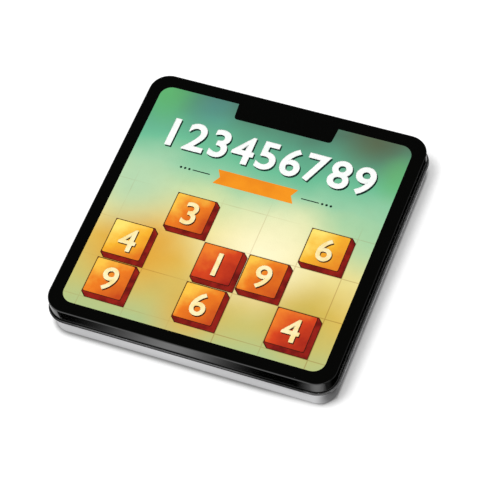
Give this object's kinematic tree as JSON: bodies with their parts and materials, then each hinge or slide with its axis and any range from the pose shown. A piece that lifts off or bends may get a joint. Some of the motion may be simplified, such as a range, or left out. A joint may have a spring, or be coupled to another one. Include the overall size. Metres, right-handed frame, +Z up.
{
  "type": "travel sudoku board",
  "caption": "Flat square hinged tin holding a magnetic travel sudoku: steel grid board, number tiles, tile pockets and a puzzle booklet.",
  "frame": {"origin": "middle of the tin's underside", "axes": "+Z up through the lid, -Y to the front edge that opens, the hinge along X at the back"},
  "size_m": [0.1468, 0.1502, 0.021],
  "materials": {
    "black_lacquer": "gloss black lacquer over tinplate, with a printed panel on the top",
    "bare_tinplate": "satin tinplate",
    "steel_wire": "drawn wire",
    "tray_plastic": "black formed sheet",
    "board_steel": "dark painted sheet steel",
    "grid_print": "printed laminated sheet",
    "tile_face": "printed magnetic rubber",
    "cover_card": "printed card",
    "page_paper": "paper block"
  },
  "bodies": {
    "base": {"base_shell": "bare_tinplate", "hinge_pin_left": "steel_wire", "hinge_pin_right": "steel_wire", "storage_tray": "tray_plastic", "booklet_cover": "cover_card", "booklet_pages": "page_paper", "booklet_staples": "steel_wire", "tile_stack_1": "tile_face", "tile_stack_2": "tile_face", "tile_stack_3": "tile_face", "tile_stack_4": "tile_face", "tile_stack_5": "tile_face", "tile_stack_6": "tile_face", "tile_stack_7": "tile_face", "tile_stack_8": "tile_face", "tile_stack_9": "tile_face"},
    "lid": {"lid_shell": "black_lacquer"},
    "board": {"board_plate": "board_steel", "board_grid_sheet": "grid_print"},
    "tile_row1_left_body": {"tile_row1_left": "tile_face"},
    "tile_row1_middle_body": {"tile_row1_middle": "tile_face"},
    "tile_row1_right_body": {"tile_row1_right": "tile_face"},
    "tile_row2_left_body": {"tile_row2_left": "tile_face"},
    "tile_row2_middle_body": {"tile_row2_middle": "tile_face"},
    "tile_row2_right_body": {"tile_row2_right": "tile_face"},
    "tile_row3_left_body": {"tile_row3_left": "tile_face"},
    "tile_row3_middle_body": {"tile_row3_middle": "tile_face"},
    "tile_row3_right_body": {"tile_row3_right": "tile_face"},
    "tile_row4_left_body": {"tile_row4_left": "tile_face"},
    "tile_row4_middle_body": {"tile_row4_middle": "tile_face"},
    "tile_row4_right_body": {"tile_row4_right": "tile_face"},
    "tile_row5_left_body": {"tile_row5_left": "tile_face"},
    "tile_row5_middle_body": {"tile_row5_middle": "tile_face"},
    "tile_row5_right_body": {"tile_row5_right": "tile_face"},
    "tile_row6_left_body": {"tile_row6_left": "tile_face"},
    "tile_row6_middle_body": {"tile_row6_middle": "tile_face"},
    "tile_row6_right_body": {"tile_row6_right": "tile_face"},
    "tile_row7_left_body": {"tile_row7_left": "tile_face"},
    "tile_row7_middle_body": {"tile_row7_middle": "tile_face"},
    "tile_row7_right_body": {"tile_row7_right": "tile_face"},
    "tile_row8_left_body": {"tile_row8_left": "tile_face"},
    "tile_row8_middle_body": {"tile_row8_middle": "tile_face"},
    "tile_row8_right_body": {"tile_row8_right": "tile_face"},
    "tile_row9_left_body": {"tile_row9_left": "tile_face"},
    "tile_row9_middle_body": {"tile_row9_middle": "tile_face"},
    "tile_row9_right_body": {"tile_row9_right": "tile_face"}
  },
  "joints": [
    {"name": "lid_hinge", "type": "hinge", "parent": "base", "child": "lid", "pos_m": [0, 0.07545, 0.0113], "axis": [-1, 0, 0], "range_deg": [0, 115]},
    {"name": "board_lift", "type": "slide", "parent": "base", "child": "board", "axis": [0, 0, 1], "range_m": [0, 0.005]},
    {"name": "slide_row1_left", "type": "slide", "parent": "board", "child": "tile_row1_left_body", "axis": [1, 0, 0], "range_m": [0, 0.012]},
    {"name": "slide_row1_middle", "type": "slide", "parent": "board", "child": "tile_row1_middle_body", "axis": [1, 0, 0], "range_m": [0, 0.012]},
    {"name": "slide_row1_right", "type": "slide", "parent": "board", "child": "tile_row1_right_body", "axis": [-1, 0, 0], "range_m": [0, 0.012]},
    {"name": "slide_row2_left", "type": "slide", "parent": "board", "child": "tile_row2_left_body", "axis": [-1, 0, 0], "range_m": [0, 0.012]},
    {"name": "slide_row2_middle", "type": "slide", "parent": "board", "child": "tile_row2_middle_body", "axis": [1, 0, 0], "range_m": [0, 0.012]},
    {"name": "slide_row2_right", "type": "slide", "parent": "board", "child": "tile_row2_right_body", "axis": [1, 0, 0], "range_m": [0, 0.012]},
    {"name": "slide_row3_left", "type": "slide", "parent": "board", "child": "tile_row3_left_body", "axis": [1, 0, 0], "range_m": [0, 0.012]},
    {"name": "slide_row3_middle", "type": "slide", "parent": "board", "child": "tile_row3_middle_body", "axis": [-1, 0, 0], "range_m": [0, 0.012]},
    {"name": "slide_row3_right", "type": "slide", "parent": "board", "child": "tile_row3_right_body", "axis": [1, 0, 0], "range_m": [0, 0.012]},
    {"name": "slide_row4_left", "type": "slide", "parent": "board", "child": "tile_row4_left_body", "axis": [1, 0, 0], "range_m": [0, 0.012]},
    {"name": "slide_row4_middle", "type": "slide", "parent": "board", "child": "tile_row4_middle_body", "axis": [-1, 0, 0], "range_m": [0, 0.012]},
    {"name": "slide_row4_right", "type": "slide", "parent": "board", "child": "tile_row4_right_body", "axis": [1, 0, 0], "range_m": [0, 0.012]},
    {"name": "slide_row5_left", "type": "slide", "parent": "board", "child": "tile_row5_left_body", "axis": [1, 0, 0], "range_m": [0, 0.012]},
    {"name": "slide_row5_middle", "type": "slide", "parent": "board", "child": "tile_row5_middle_body", "axis": [1, 0, 0], "range_m": [0, 0.012]},
    {"name": "slide_row5_right", "type": "slide", "parent": "board", "child": "tile_row5_right_body", "axis": [-1, 0, 0], "range_m": [0, 0.012]},
    {"name": "slide_row6_left", "type": "slide", "parent": "board", "child": "tile_row6_left_body", "axis": [-1, 0, 0], "range_m": [0, 0.012]},
    {"name": "slide_row6_middle", "type": "slide", "parent": "board", "child": "tile_row6_middle_body", "axis": [1, 0, 0], "range_m": [0, 0.012]},
    {"name": "slide_row6_right", "type": "slide", "parent": "board", "child": "tile_row6_right_body", "axis": [1, 0, 0], "range_m": [0, 0.012]},
    {"name": "slide_row7_left", "type": "slide", "parent": "board", "child": "tile_row7_left_body", "axis": [-1, 0, 0], "range_m": [0, 0.012]},
    {"name": "slide_row7_middle", "type": "slide", "parent": "board", "child": "tile_row7_middle_body", "axis": [1, 0, 0], "range_m": [0, 0.012]},
    {"name": "slide_row7_right", "type": "slide", "parent": "board", "child": "tile_row7_right_body", "axis": [1, 0, 0], "range_m": [0, 0.012]},
    {"name": "slide_row8_left", "type": "slide", "parent": "board", "child": "tile_row8_left_body", "axis": [1, 0, 0], "range_m": [0, 0.012]},
    {"name": "slide_row8_middle", "type": "slide", "parent": "board", "child": "tile_row8_middle_body", "axis": [-1, 0, 0], "range_m": [0, 0.012]},
    {"name": "slide_row8_right", "type": "slide", "parent": "board", "child": "tile_row8_right_body", "axis": [1, 0, 0], "range_m": [0, 0.012]},
    {"name": "slide_row9_left", "type": "slide", "parent": "board", "child": "tile_row9_left_body", "axis": [1, 0, 0], "range_m": [0, 0.012]},
    {"name": "slide_row9_middle", "type": "slide", "parent": "board", "child": "tile_row9_middle_body", "axis": [1, 0, 0], "range_m": [0, 0.012]},
    {"name": "slide_row9_right", "type": "slide", "parent": "board", "child": "tile_row9_right_body", "axis": [-1, 0, 0], "range_m": [0, 0.012]}
  ]
}
